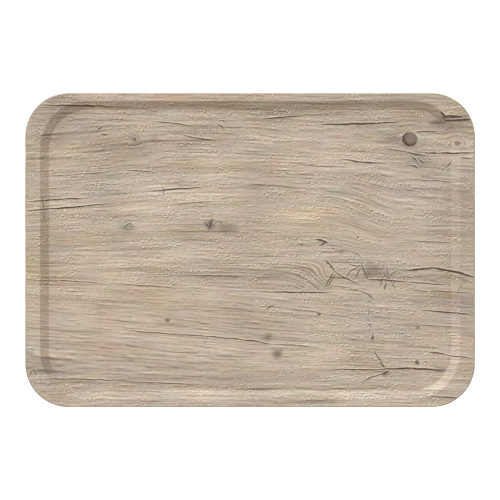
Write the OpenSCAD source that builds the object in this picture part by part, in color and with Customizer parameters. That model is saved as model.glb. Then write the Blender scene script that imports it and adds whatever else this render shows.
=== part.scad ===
// Serving tray pressed from resin-bonded sheets: a flat well, a sloping wall
// and a flat rim that is wide at the two ends, where the hands hold it.
//
// Frame: millimetres, +Z up, +X along the tray. The origin is the centre of
// the underside, on the surface that the tray stands on.
//
// Every sheet is the same dished shape, one lying inside the next, so each is
// drawn by pressed_sheet() from how deep its two faces lie under the finished
// top face. Faces of neighbouring sheets coincide, as bonded sheets do.

/* [Tray] */
// Overall length
tray_length = 530; // [430:1:620]
// Overall width
tray_width = 370; // [300:1:450]
// Height of the rim above the well, upper face to upper face
well_depth = 13; // [10:0.5:20]

/* [Corners] */
// Radius of the outer corners, seen from above
outer_corner_radius = 51; // [35:1:62]
// Corner radius of the line where the rim bends down into the wall
wall_corner_radius = 58; // [46:1:70]

/* [Rim] */
// Width of the flat rim at each short end, where it is held
end_rim_width = 15.8; // [12:0.1:30]
// Width of the flat rim along each long side
side_rim_width = 7.5; // [5:0.1:20]
// Radius to which the trimmed edge is rounded, above and below
edge_rounding = 1.4; // [0.8:0.1:1.5]

/* [Bends] */
// Radius at the wall's foot, on the upper face
foot_bend_radius = 1.5; // [1:0.1:3]
// Radius under the rim, on the lower face
rim_bend_radius = 0.6; // [0.4:0.1:2]

/* [Sheets] */
// Clear wear sheet, one above and one below
clear_thickness = 0.2; // [0.15:0.05:0.3]
// Printed sheet above, and the plain one below that balances it
paper_thickness = 0.25; // [0.2:0.05:0.4]
// Veneers in the core, an odd number so that the stack is balanced
veneer_count = 7; // [3:2:9]
// One pressed veneer
veneer_thickness = 0.35; // [0.25:0.01:0.5]
// Lacquer that seals the trimmed edge
seal_thickness = 0.3; // [0.25:0.05:0.5]

/* [Hidden] */
$fn = 96;
VENEERS = [for (i = [1 : veneer_count]) str("veneer_", i)];

// How deep the upper face of each layer lies under the finished top face.
decor_depth = clear_thickness;
core_depth = decor_depth + paper_thickness;
balance_depth = core_depth + veneer_count * veneer_thickness;
underlay_depth = balance_depth + paper_thickness;
shell_thickness = underlay_depth + clear_thickness;

// The wall's slope between its two bends: how far it rises for how far it goes across.
wall_rise = 4;
wall_going = 3;
wall_angle = atan2(wall_rise, wall_going);
rim_top_radius = rim_bend_radius + shell_thickness;
bend_radii = foot_bend_radius + rim_top_radius;
wall_length = (well_depth - bend_radii * (1 - cos(wall_angle))) / sin(wall_angle);
wall_run = bend_radii * sin(wall_angle) + wall_length * cos(wall_angle);

// Centre of the wall's corner arcs, from the middle of the tray.
wall_corner_x = tray_length / 2 - end_rim_width - wall_corner_radius;
wall_corner_y = tray_width / 2 - side_rim_width - wall_corner_radius;
foot_corner_radius = wall_corner_radius - wall_run;

// Centre of the outer edge's corner arcs.
edge_corner_x = tray_length / 2 - outer_corner_radius;
edge_corner_y = tray_width / 2 - outer_corner_radius;

// Sheets are pressed this much too wide all round and trimmed afterwards.
trim_allowance = 2 * (end_rim_width + side_rim_width);

// Part of a ring between two radii, from one angle through the turn after it.
module ring_sector(inner, outer, start, turn) {
    reach = 2 * outer;
    intersection() {
        difference() {
            circle(r = outer);
            circle(r = inner);
        }
        polygon([
            [0, 0],
            reach * [cos(start), sin(start)],
            reach * [cos(start + turn), sin(start + turn)],
        ]);
    }
}

// Cross-section of a sheet from the corner arcs' centre outwards. X is the
// distance from that centre, Y the height above the well's upper face.
module sheet_section(upper, lower) {
    thickness = lower - upper;
    translate([0, -lower]) square([foot_corner_radius, thickness]);
    translate([foot_corner_radius, foot_bend_radius]) {
        ring_sector(foot_bend_radius + upper, foot_bend_radius + lower, -90, wall_angle);
        rotate(wall_angle)
            translate([0, -foot_bend_radius - lower]) square([wall_length, thickness]);
    }
    translate([wall_corner_radius, well_depth - rim_top_radius])
        ring_sector(rim_top_radius - lower, rim_top_radius - upper, 90, wall_angle);
    translate([wall_corner_radius, well_depth - lower]) square([trim_allowance, thickness]);
}

// Stands a section up, so that its X runs along +Y and its Y along +Z.
module upright(length) {
    rotate([90, 0, 90]) linear_extrude(height = length, center = true) children();
}

// Lays a cross-section round a rectangle: along its four sides, and turned
// through a quarter circle at each corner. X of the section starts at the
// corners' centres, which are half_x and half_y from the middle.
module round_rectangle(half_x, half_y) {
    for (side = [-1, 1]) {
        rotate(side * 90) translate([0, half_x, 0]) upright(2 * half_y) children();
        rotate(90 - side * 90) translate([0, half_y, 0]) upright(2 * half_x) children();
    }
    for (turn = [0 : 3])
        translate([(turn % 3 == 0 ? 1 : -1) * half_x, (turn < 2 ? 1 : -1) * half_y, 0])
            rotate(turn * 90) rotate_extrude(angle = 90) children();
}

// A rectangle with rounded corners, centred.
module rounded_outline(half_x, half_y, radius) {
    square([2 * half_x, 2 * (half_y - radius)], center = true);
    square([2 * (half_x - radius), 2 * half_y], center = true);
    for (x = [-1, 1], y = [-1, 1])
        translate([x * (half_x - radius), y * (half_y - radius)]) circle(r = radius);
}

// A quarter disc in the corner between +X and +Y.
module quarter_disc(radius) {
    intersection() {
        circle(r = radius);
        square([radius, radius]);
    }
}

// The outermost strip of the rim, rounded above and below and reaching out by
// the given distance. Y is the height above the rim's lower face.
module edge_section(reach) {
    straight = shell_thickness - 2 * edge_rounding;
    translate([0, edge_rounding]) {
        square([reach, straight]);
        translate([0, straight]) quarter_disc(reach);
        mirror([0, 1]) quarter_disc(reach);
    }
}

// A section of the rim's edge laid round the tray.
module round_the_edge() {
    round_rectangle(edge_corner_x, edge_corner_y)
        translate([outer_corner_radius - edge_rounding, well_depth]) children();
}

// All that lies inside the sealed outer edge.
module trimmed_outline() {
    linear_extrude(height = shell_thickness + well_depth)
        rounded_outline(tray_length / 2 - edge_rounding, tray_width / 2 - edge_rounding,
                        outer_corner_radius - edge_rounding);
    round_the_edge() edge_section(edge_rounding - seal_thickness);
}

// A pressed sheet whose faces lie upper and lower under the finished top face.
module pressed_sheet(upper, lower) {
    intersection() {
        translate([0, 0, shell_thickness]) {
            round_rectangle(wall_corner_x, wall_corner_y) sheet_section(upper, lower);
            translate([-wall_corner_x, -wall_corner_y, -lower])
                cube([2 * wall_corner_x, 2 * wall_corner_y, lower - upper]);
        }
        trimmed_outline();
    }
}

module clear_overlay() {
    color([0.85, 0.82, 0.76, 0.3]) pressed_sheet(0, decor_depth);
}

module wood_decor_sheet() {
    color([0.73, 0.66, 0.58]) pressed_sheet(decor_depth, core_depth);
}

// Neighbouring veneers lie with their grain crossed, which shows in the tone.
module veneer(number) {
    upper = core_depth + (number - 1) * veneer_thickness;
    color(number % 2 == 1 ? [0.72, 0.55, 0.38] : [0.60, 0.44, 0.30])
        pressed_sheet(upper, upper + veneer_thickness);
}

module balancing_sheet() {
    color([0.46, 0.39, 0.33]) pressed_sheet(balance_depth, underlay_depth);
}

module clear_underlay() {
    color([0.85, 0.82, 0.76, 0.3]) pressed_sheet(underlay_depth, shell_thickness);
}

module edge_seal() {
    color([0.38, 0.31, 0.26]) round_the_edge() difference() {
        edge_section(edge_rounding);
        edge_section(edge_rounding - seal_thickness);
    }
}

clear_overlay();
wood_decor_sheet();
for (i = [1 : veneer_count])
    veneer(i);
balancing_sheet();
clear_underlay();
edge_seal();
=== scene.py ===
"""The looks of a pressed serving tray with a weathered-wood print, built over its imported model."""

import logging
import math
from dataclasses import dataclass, replace
from enum import Enum

import bpy
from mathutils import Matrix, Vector


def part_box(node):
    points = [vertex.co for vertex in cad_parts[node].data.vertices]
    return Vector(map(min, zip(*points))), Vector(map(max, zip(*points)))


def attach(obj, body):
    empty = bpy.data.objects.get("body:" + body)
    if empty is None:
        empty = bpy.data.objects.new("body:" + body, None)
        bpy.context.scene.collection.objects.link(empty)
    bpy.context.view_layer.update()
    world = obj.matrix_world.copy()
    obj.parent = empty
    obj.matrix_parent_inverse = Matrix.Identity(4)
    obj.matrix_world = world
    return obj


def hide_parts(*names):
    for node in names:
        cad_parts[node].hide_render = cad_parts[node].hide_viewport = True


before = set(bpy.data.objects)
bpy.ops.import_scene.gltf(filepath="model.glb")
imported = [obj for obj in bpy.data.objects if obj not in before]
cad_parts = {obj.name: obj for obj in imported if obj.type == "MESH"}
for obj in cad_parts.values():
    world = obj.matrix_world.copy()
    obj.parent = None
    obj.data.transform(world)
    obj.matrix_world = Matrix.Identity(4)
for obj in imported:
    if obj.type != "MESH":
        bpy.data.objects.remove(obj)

LOG = logging.getLogger("serving_tray")
MM = 0.001
CORNER_STEPS = 32
WELD_DISTANCE = 0.01 * MM
LEVEL_NORMAL = 0.9999
STEEP_NORMAL = 0.01
Socket = bpy.types.NodeSocket
Colour = tuple[float, float, float]
Point = tuple[float, float]


def linear(red: int, green: int, blue: int) -> Colour:
    """Turns a screen colour, of 0 to 255 a channel, into linear light."""
    shares = [channel / 255 for channel in (red, green, blue)]
    return tuple(s / 12.92 if s <= 0.04045 else ((s + 0.055) / 1.055) ** 2.4 for s in shares)


# ---------------------------------------------------------------- sizes and modelling


@dataclass(frozen=True)
class RoundedLoop:
    """A level rectangle with rounded corners, in metres."""

    half_x: float
    half_y: float
    radius: float
    height: float


@dataclass(frozen=True)
class TraySizes:
    """Sizes of the pressed shell, in metres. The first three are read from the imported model."""

    half_length: float
    half_width: float
    top: float
    outer_corner: float = 51.0 * MM
    wall_corner: float = 58.0 * MM
    end_rim: float = 15.8 * MM
    side_rim: float = 7.5 * MM
    edge_rounding: float = 1.4 * MM
    foot_bend: float = 1.5 * MM
    rim_bend: float = 0.6 * MM
    print_bend: float = 1.2 * MM
    shell: float = 3.35 * MM
    face_sheets: float = 0.45 * MM
    seal: float = 0.3 * MM
    wall_rise: float = 4.0
    wall_going: float = 3.0
    bend_steps: int = 8
    flat_margin: float = 0.4 * MM

    @classmethod
    def from_model(cls) -> "TraySizes":
        """Reads the overall sizes from the edge seal, which is the tray's outermost piece."""
        low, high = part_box("edge_seal")
        return cls(half_length=(high.x - low.x) / 2, half_width=(high.y - low.y) / 2, top=high.z)

    @property
    def wall_angle(self) -> float:
        """The wall's slope, in radians."""
        return math.atan2(self.wall_rise, self.wall_going)

    @property
    def foot_corner(self) -> float:
        """Radius of the corner line where the wall's foot meets the well."""
        bends = self.foot_bend + self.rim_bend + self.shell
        depth = self.top - self.shell
        straight = (depth - bends * (1 - math.cos(self.wall_angle))) / math.sin(self.wall_angle)
        run = bends * math.sin(self.wall_angle) + straight * math.cos(self.wall_angle)
        return self.wall_corner - run

    def edge_loop(self, inset: float, height: float) -> RoundedLoop:
        """An outline that runs a given inset inside the tray's outer edge."""
        return RoundedLoop(
            self.half_length - inset, self.half_width - inset, self.outer_corner - inset, height
        )

    def wall_loop(self, radius: float, height: float) -> RoundedLoop:
        """An outline parallel to the wall, by its corner radius round the centres of the wall's corners.

        Args:
            radius: Its corner radius.
            height: Its height above the ground.

        Returns:
            The outline.
        """
        grown = radius - self.wall_corner
        half_x, half_y = self.half_length - self.end_rim, self.half_width - self.side_rim
        return RoundedLoop(half_x + grown, half_y + grown, radius, height)

    def upper_face(self) -> list[RoundedLoop]:
        """The outlines of the printed face, from the trimmed edge in to the well.

        Its bends keep to the corners between the model's wall and flats, pressed a little tighter.

        Returns:
            The outlines, in order.
        """
        half_turn = math.tan(self.wall_angle / 2)
        rim_corner = self.wall_corner - (self.rim_bend + self.shell) * half_turn
        foot_corner = self.foot_corner + self.foot_bend * half_turn
        reach = self.print_bend * half_turn
        rim_start, well_end = rim_corner + reach, foot_corner - reach
        return self.face(self.top, rim_start, self.print_bend, self.shell, well_end, self.print_bend)

    def lower_face(self) -> list[RoundedLoop]:
        """The outlines of the underside, from the trimmed edge in to the well."""
        rim, foot_radius = self.top - self.shell, self.foot_bend + self.shell
        return self.face(rim, self.wall_corner, self.rim_bend, 0.0, self.foot_corner, foot_radius)

    def face(
        self,
        rim: float,
        rim_start: float,
        rim_radius: float,
        well: float,
        well_end: float,
        foot_radius: float,
    ) -> list[RoundedLoop]:
        """The outlines of one pressed face: flat rim, bend, straight wall, bend and flat well.

        Args:
            rim: Height of the flat rim.
            rim_start: Corner radius of the line where the rim starts to bend.
            rim_radius: The radius of that bend.
            well: Height of the flat well.
            well_end: Corner radius of the line where the wall's bend meets the well.
            foot_radius: The radius of that bend.

        Returns:
            The outlines, in order.
        """
        turns = [step / self.bend_steps * self.wall_angle for step in range(self.bend_steps + 1)]
        loops = [self.edge_loop(self.edge_rounding, rim)]
        loops.append(self.wall_loop(rim_start + self.flat_margin, rim))
        for turn in turns:
            across, down = rim_radius * math.sin(turn), rim_radius * (1 - math.cos(turn))
            loops.append(self.wall_loop(rim_start - across, rim - down))
        for turn in reversed(turns):
            across, up = foot_radius * math.sin(turn), foot_radius * (1 - math.cos(turn))
            loops.append(self.wall_loop(well_end + across, well + up))
        loops.append(self.wall_loop(well_end - self.flat_margin, well))
        return loops


def deselect() -> None:
    """Deselects every object."""
    bpy.ops.object.select_all(action="DESELECT")


def make_active(piece: bpy.types.Object) -> None:
    """Selects one piece alone and makes it the active one."""
    deselect()
    piece.select_set(True)
    bpy.context.view_layer.objects.active = piece


def set_mode(mode: str) -> None:
    """Goes into edit mode or back to object mode."""
    bpy.ops.object.mode_set(mode=mode)


def start_piece(name: str) -> bpy.types.Object:
    """Starts an empty piece at the origin and enters edit mode.

    Args:
        name: The piece's name.

    Returns:
        The piece.
    """
    deselect()
    bpy.ops.object.add(type="MESH", location=(0, 0, 0))
    piece = bpy.context.object
    piece.name = piece.data.name = name
    set_mode("EDIT")
    bpy.ops.mesh.select_mode(type="VERT")
    return piece


def draw_outline(loop: RoundedLoop, filled: bool) -> None:
    """Adds a rounded rectangle to the mesh that is being edited: a plane, stretched, with bevelled corners.

    Args:
        loop: The outline.
        filled: Whether its face stays.
    """
    centre = (0, 0, loop.height)
    bpy.ops.mesh.primitive_plane_add(size=2, location=centre)
    bpy.ops.transform.resize(value=(loop.half_x, loop.half_y, 1), center_override=centre)
    bpy.ops.mesh.bevel(
        offset_type="OFFSET", offset=loop.radius, segments=CORNER_STEPS, affect="VERTICES", profile=0.5
    )
    if not filled:
        bpy.ops.mesh.delete(type="ONLY_FACE")


def bridge_strip(name: str, outer: RoundedLoop, inner: RoundedLoop) -> bpy.types.Object:
    """Models the strip of face between two outlines.

    Args:
        name: The strip's name.
        outer: The outline on one side.
        inner: The outline on the other.

    Returns:
        The strip.
    """
    piece = start_piece(name)
    draw_outline(outer, filled=False)
    draw_outline(inner, filled=False)
    bpy.ops.mesh.select_all(action="SELECT")
    bpy.ops.mesh.bridge_edge_loops()
    set_mode("OBJECT")
    return piece


def use_modifier(piece: bpy.types.Object, kind: str, **settings: object) -> None:
    """Adds a modifier and applies it.

    Args:
        piece: The piece that it works on.
        kind: The modifier's type.
        settings: Its settings.
    """
    make_active(piece)
    modifier = piece.modifiers.new(kind.lower(), kind)
    for name, value in settings.items():
        setattr(modifier, name, value)
    bpy.ops.object.modifier_apply(modifier=modifier.name)


def smooth(piece: bpy.types.Object, sharpest: float = 32.0) -> None:
    """Shades a piece smoothly, with its flats kept flat.

    Args:
        piece: The piece.
        sharpest: The widest angle that still shades smoothly, in degrees.
    """
    make_active(piece)
    bpy.ops.object.shade_smooth_by_angle(angle=math.radians(sharpest))
    use_modifier(piece, "WEIGHTED_NORMAL", keep_sharp=True)


def press_face(name: str, loops: list[RoundedLoop], thickness: float, up: bool) -> bpy.types.Object:
    """Models a pressed sheet from the outlines of its outer face.

    Args:
        name: The piece's name.
        loops: The outer face's outlines, from the edge in to the well.
        thickness: How thick the sheet is, behind that face.
        up: Whether the outer face looks up.

    Returns:
        The piece.
    """
    strips = [
        bridge_strip(f"{name}_{i}", outer, inner) for i, (outer, inner) in enumerate(zip(loops, loops[1:]))
    ]
    floor = start_piece(name)
    draw_outline(loops[-1], filled=True)
    set_mode("OBJECT")
    deselect()
    for piece in (*strips, floor):
        piece.select_set(True)
    bpy.context.view_layer.objects.active = floor
    bpy.ops.object.join()
    set_mode("EDIT")
    bpy.ops.mesh.select_all(action="SELECT")
    bpy.ops.mesh.remove_doubles(threshold=WELD_DISTANCE)
    bpy.ops.mesh.normals_make_consistent(inside=False)
    set_mode("OBJECT")
    largest = max(floor.data.polygons, key=lambda polygon: polygon.area)
    if (largest.normal.z > 0) != up:
        set_mode("EDIT")
        bpy.ops.mesh.select_all(action="SELECT")
        bpy.ops.mesh.flip_normals()
        set_mode("OBJECT")
    use_modifier(floor, "SOLIDIFY", thickness=thickness, offset=-1, use_even_offset=True)
    smooth(floor)
    return floor


def lay_map(piece: bpy.types.Object, up: bool) -> None:
    """Gives a pressed sheet a map that spreads its outer face flat, with its hidden face small beside it.

    Args:
        piece: The sheet.
        up: Whether the outer face looks up.
    """
    layer = piece.data.uv_layers.new(name="OFBake")
    reach_x = max(abs(vertex.co.x) for vertex in piece.data.vertices)
    reach_y = max(abs(vertex.co.y) for vertex in piece.data.vertices)
    margin, hidden_share = 0.004, 0.35
    wide = 1 - 2 * margin
    tall = wide * reach_y / reach_x
    for polygon in piece.data.polygons:
        outer = (polygon.normal.z > STEEP_NORMAL) == up and abs(polygon.normal.z) > STEEP_NORMAL
        share = 1.0 if outer else hidden_share
        base = margin if outer else 2 * margin + tall
        for corner in polygon.loop_indices:
            place = piece.data.vertices[piece.data.loops[corner].vertex_index].co
            across = (place.x / reach_x + 1) / 2 * wide * share
            along = (place.y / reach_y + 1) / 2 * tall * share
            layer.data[corner].uv = (margin + across, base + along)


# ---------------------------------------------------------------- finishes


class Bench:
    """Adds shader nodes to one tree and wires them up."""

    def __init__(self, tree: bpy.types.ShaderNodeTree) -> None:
        """Takes the tree to work in."""
        self.tree = tree

    def add(self, kind: str, **settings: object) -> bpy.types.Node:
        """Adds a node.

        Args:
            kind: The node's type.
            settings: Its settings.

        Returns:
            The node.
        """
        node = self.tree.nodes.new(kind)
        for name, value in settings.items():
            setattr(node, name, value)
        return node

    def feed(self, socket: Socket, value: object) -> None:
        """Wires a socket into another, or sets its value."""
        if isinstance(value, bpy.types.NodeSocket):
            self.tree.links.new(value, socket)
        else:
            socket.default_value = value

    def wired(self, kind: str, *values: object, **settings: object) -> bpy.types.Node:
        """Adds a node and feeds its inputs, in their order.

        Args:
            kind: The node's type.
            values: Its inputs, each a value or a socket.
            settings: Its settings.

        Returns:
            The node.
        """
        node = self.add(kind, **settings)
        for socket, value in zip(node.inputs, values):
            self.feed(socket, value)
        return node

    def math(self, operation: str, *values: object) -> Socket:
        """Works out a number."""
        return self.wired("ShaderNodeMath", *values, operation=operation).outputs[0]

    def times(self, one: object, other: object) -> Socket:
        """Multiplies two numbers."""
        return self.math("MULTIPLY", one, other)

    def plus(self, one: object, other: object) -> Socket:
        """Adds two numbers."""
        return self.math("ADD", one, other)

    def scaled(self, value: object, factor: object, rest: object) -> Socket:
        """Multiplies a number by a factor and adds the rest."""
        return self.math("MULTIPLY_ADD", value, factor, rest)

    def most(self, one: object, other: object) -> Socket:
        """Takes the larger of two numbers."""
        return self.math("MAXIMUM", one, other)

    def vector(self, operation: str, *values: object) -> Socket:
        """Works out a vector."""
        return self.wired("ShaderNodeVectorMath", *values, operation=operation).outputs[0]

    def length(self, vector: Socket) -> Socket:
        """Works out a vector's length."""
        return self.wired("ShaderNodeVectorMath", vector, operation="LENGTH").outputs["Value"]

    def joined(self, *parts: object) -> Socket:
        """Joins up to three numbers into a vector."""
        return self.wired("ShaderNodeCombineXYZ", *parts).outputs[0]

    def mapped(self, place: Socket, scale: Colour, shift: Colour = (0.0, 0.0, 0.0)) -> Socket:
        """Stretches a place and then shifts it."""
        return self.wired("ShaderNodeMapping", place, shift, (0.0, 0.0, 0.0), scale).outputs[0]

    def millimetres(self) -> Socket:
        """Reads the place that is being shaded, in millimetres.

        Returns:
            The place's socket.
        """
        scaled = self.add("ShaderNodeVectorMath", operation="SCALE")
        self.feed(scaled.inputs[0], self.add("ShaderNodeTexCoord").outputs["Object"])
        scaled.inputs["Scale"].default_value = 1 / MM
        return scaled.outputs[0]

    def relief(self, shader: bpy.types.Node, strength: float) -> Socket:
        """Gives a surface a fine relief, and returns the socket that takes its height.

        Args:
            shader: The surface's shader.
            strength: How strongly the relief shows.

        Returns:
            The height's socket.
        """
        bump = self.add("ShaderNodeBump")
        bump.inputs["Strength"].default_value = strength
        bump.inputs["Distance"].default_value = 0.1 * MM
        self.feed(shader.inputs["Normal"], bump.outputs[0])
        return bump.inputs["Height"]

    def noise(
        self,
        place: Socket,
        length: float,
        width: float,
        seed: float,
        detail: float = 2.0,
        shift: Point = (0.0, 0.0),
    ) -> Socket:
        """A cloudy pattern from 0 to 1, about 0.5 on average.

        Args:
            place: Where on the face, in millimetres.
            length: About how long its patches are, in millimetres.
            width: About how wide they are.
            seed: Picks one such pattern.
            detail: How many finer layers it has.
            shift: How far the place is moved first.

        Returns:
            The pattern's socket.
        """
        offset = (7.31 * seed + shift[0] / length, 3.77 * seed + shift[1] / width, 0.0)
        spread = self.mapped(place, (1 / length, 1 / width, 1.0), offset)
        node = self.wired("ShaderNodeTexNoise", spread, noise_dimensions="2D")
        node.inputs["Scale"].default_value = 1.0
        node.inputs["Detail"].default_value = detail
        return node.outputs[0]

    def fade(self, value: Socket, none: float, full: float) -> Socket:
        """Goes smoothly from 0 to 1 as a value goes between two limits.

        Args:
            value: The value.
            none: Where the result is 0.
            full: Where the result is 1.

        Returns:
            The result's socket.
        """
        limits = (none, full, 0.0, 1.0) if none < full else (full, none, 1.0, 0.0)
        settings = {"interpolation_type": "SMOOTHSTEP", "clamp": False}
        return self.wired("ShaderNodeMapRange", value, *limits, **settings).outputs[0]

    def blend(self, share: object, under: object, over: object, mode: str = "MIX") -> Socket:
        """Lays one colour over another.

        Args:
            share: How much of the upper one shows.
            under: The colour below.
            over: The colour above.
            mode: How they combine.

        Returns:
            The mixed colour's socket.
        """
        node = self.add("ShaderNodeMix", data_type="RGBA", blend_type=mode)
        sockets = [s for s in node.inputs if s.type == "RGBA"]
        self.feed(node.inputs[0], share)
        self.feed(sockets[0], under if isinstance(under, bpy.types.NodeSocket) else (*under, 1.0))
        self.feed(sockets[1], over if isinstance(over, bpy.types.NodeSocket) else (*over, 1.0))
        return [s for s in node.outputs if s.type == "RGBA"][0]

    def use_group(self, group: bpy.types.ShaderNodeTree, *values: object) -> tuple[Socket, ...]:
        """Uses a node group on some values, and returns its outputs."""
        return tuple(self.wired("ShaderNodeGroup", *values, node_tree=group).outputs)

    def finish_group(self, *results: Socket) -> None:
        """Sends sockets out by the outputs of the group that this bench is on."""
        self.wired("NodeGroupOutput", *results)

    def shades(self, value: Socket, stops: tuple[tuple[float, Colour], ...]) -> Socket:
        """Turns a value into a colour by a row of shades.

        Args:
            value: The value, from 0 to 1.
            stops: Each shade's place in the row, and its colour.

        Returns:
            The colour's socket.
        """
        node = self.add("ShaderNodeValToRGB")
        elements = node.color_ramp.elements
        while len(elements) < len(stops):
            elements.new(0.5)
        for element, (position, colour) in zip(elements, stops):
            element.position = position
            element.color = (*colour, 1.0)
        self.feed(node.inputs[0], value)
        return node.outputs[0]


def start_finish(name: str) -> tuple[bpy.types.Material, Bench, bpy.types.Node]:
    """Starts a material, and returns it with a bench on its nodes and its surface shader.

    Args:
        name: Its name.

    Returns:
        The material, the bench and the shader.
    """
    material = bpy.data.materials.new(name)
    material.use_nodes = True
    return material, Bench(material.node_tree), material.node_tree.nodes["Principled BSDF"]


def start_group(
    name: str, numbers: tuple[str, ...], vectors: tuple[str, ...], results: tuple[str, ...]
) -> tuple[bpy.types.ShaderNodeTree, Bench, tuple[Socket, ...]]:
    """Starts a node group.

    Args:
        name: Its name.
        numbers: Its inputs that are numbers.
        vectors: Its inputs that are vectors, after those.
        results: Its outputs, which are vectors if it has vector inputs.

    Returns:
        The group, a bench on it, and the sockets that its inputs come in by.
    """
    group = bpy.data.node_groups.new(name, "ShaderNodeTree")
    for number in numbers:
        group.interface.new_socket(number, in_out="INPUT", socket_type="NodeSocketFloat")
    for vector in vectors:
        group.interface.new_socket(vector, in_out="INPUT", socket_type="NodeSocketVector")
    for result in results:
        kind = "NodeSocketVector" if vectors else "NodeSocketFloat"
        group.interface.new_socket(result, in_out="OUTPUT", socket_type=kind)
    bench = Bench(group)
    return group, bench, tuple(bench.add("NodeGroupInput").outputs)[: len(numbers + vectors)]


LIP_HIGHLIGHT_OFFSET = 1.25
SPLIT_REACH = 1.55
SPLIT_EDGE = 2.6


def split_group() -> bpy.types.ShaderNodeTree:
    """Makes the group that draws one drying split: dark along a bowed line, with its ends tapering out.

    Its inputs place it: how far along the line a point is, from 0 at one end to 1 at the other, and how
    far to the side of it, as two sums over the point's x and y. Its outputs are how dark the split is,
    and how bright the painted highlight on the lip along its upper side is, as printed relief shading.

    Returns:
        The group.
    """
    if "drying_split" in bpy.data.node_groups:
        return bpy.data.node_groups["drying_split"]
    names = ("x", "y", "along_x", "along_y", "along_0", "side_x", "side_y", "side_0")
    names += ("bow", "half_width", "dark")
    group, bench, given = start_group("drying_split", names, (), ("dark", "bright"))
    x, y, along_x, along_y, along_0, side_x, side_y, side_0, bow, half_width, dark = given
    along = bench.scaled(y, along_y, along_0)
    along = bench.scaled(x, along_x, along)
    side = bench.scaled(y, side_y, side_0)
    side = bench.scaled(x, side_x, side)
    hump = bench.times(along, bench.math("SUBTRACT", 1.0, along))
    hump = bench.most(hump, 0.0)
    off = bench.scaled(hump, bow, side)
    reach = bench.times(bench.math("SQRT", hump), half_width)
    inside = bench.math("SUBTRACT", reach, bench.math("ABSOLUTE", off))
    # the painted highlight: a line beside the split, on its upper side
    beside = bench.math("ABSOLUTE", bench.math("SUBTRACT", off, LIP_HIGHLIGHT_OFFSET))
    beside = bench.math("SUBTRACT", reach, beside)
    level = bench.times(bench.times(side_y, side_y), dark)
    bench.finish_group(bench.times(inside, dark), bench.times(beside, level))
    return group


def distance_group() -> bpy.types.ShaderNodeTree:
    """Makes the group that says how far a place is from an oval's centre, with 1 on its rim.

    Returns:
        The group.
    """
    if "oval_distance" in bpy.data.node_groups:
        return bpy.data.node_groups["oval_distance"]
    names = ("x", "y", "scale_x", "shift_x", "scale_y", "shift_y")
    group, bench, given = start_group("oval_distance", names, (), ("away",))
    x, y, scale_x, shift_x, scale_y, shift_y = given
    across = bench.scaled(x, scale_x, shift_x)
    along = bench.scaled(y, scale_y, shift_y)
    bench.finish_group(bench.length(bench.joined(across, along)))
    return group


def patch_group() -> bpy.types.ShaderNodeTree:
    """Makes the group that adds one soft oval patch's gain to the gain so far.

    Returns:
        The group.
    """
    if "tone_patch" in bpy.data.node_groups:
        return bpy.data.node_groups["tone_patch"]
    group, bench, (away, gain, so_far) = start_group("tone_patch", ("away",), ("gain", "so_far"), ("gain",))
    inside = bench.fade(away, 1.35, 0.15)
    share = bench.joined(inside, inside, inside)
    bench.finish_group(bench.vector("MULTIPLY_ADD", share, gain, so_far))
    return group


@dataclass
class Place:
    """A place on the printed face, in millimetres, as the nodes on a bench read it."""

    bench: Bench
    flat: Socket
    x: Socket
    y: Socket
    across: Socket | None = None
    grain: Socket | None = None


@dataclass(frozen=True)
class Split:
    """A thin dark drying split in the printed wood, in millimetres from the middle of the tray."""

    start: Point
    end: Point
    bow: float = 0.0
    width: float = 1.6
    dark: float = 0.8

    def masks(self, place: Place) -> tuple[Socket, Socket]:
        """Draws the split.

        Args:
            place: Where on the face.

        Returns:
            How dark it is, and how bright the painted highlight on the lip beside it is, both from 0 to 1.
        """
        run = Vector(self.end) - Vector(self.start)
        length = run.length
        tangent = run / length
        normal = Vector((-tangent.y, tangent.x))
        if normal.y < 0:
            normal = -normal
        start = Vector(self.start)
        return place.bench.use_group(
            split_group(),
            place.x,
            place.y,
            tangent.x / length,
            tangent.y / length,
            -tangent.dot(start) / length,
            normal.x,
            normal.y,
            -normal.dot(start),
            -4 * self.bow,
            SPLIT_REACH * self.width,
            SPLIT_EDGE * self.dark,
        )


@dataclass(frozen=True)
class Oval:
    """An oval on the printed face, in millimetres from the middle of the tray."""

    centre: Point
    half_length: float
    half_width: float

    def distance(self, place: Place) -> Socket:
        """How far from its centre a place is, with 1 on the oval's rim."""
        across = (1 / self.half_length, -self.centre[0] / self.half_length)
        along = (1 / self.half_width, -self.centre[1] / self.half_width)
        return place.bench.use_group(distance_group(), place.x, place.y, *across, *along)[0]


class KnotKind(Enum):
    """How a knot looks, with how ragged its outline is, in millimetres."""

    PLUG = 1.4
    EYE = 3.0
    SMUDGE = 5.0
    SPOT = 2.0


PLUG, EYE, SMUDGE, SPOT = KnotKind


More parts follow.
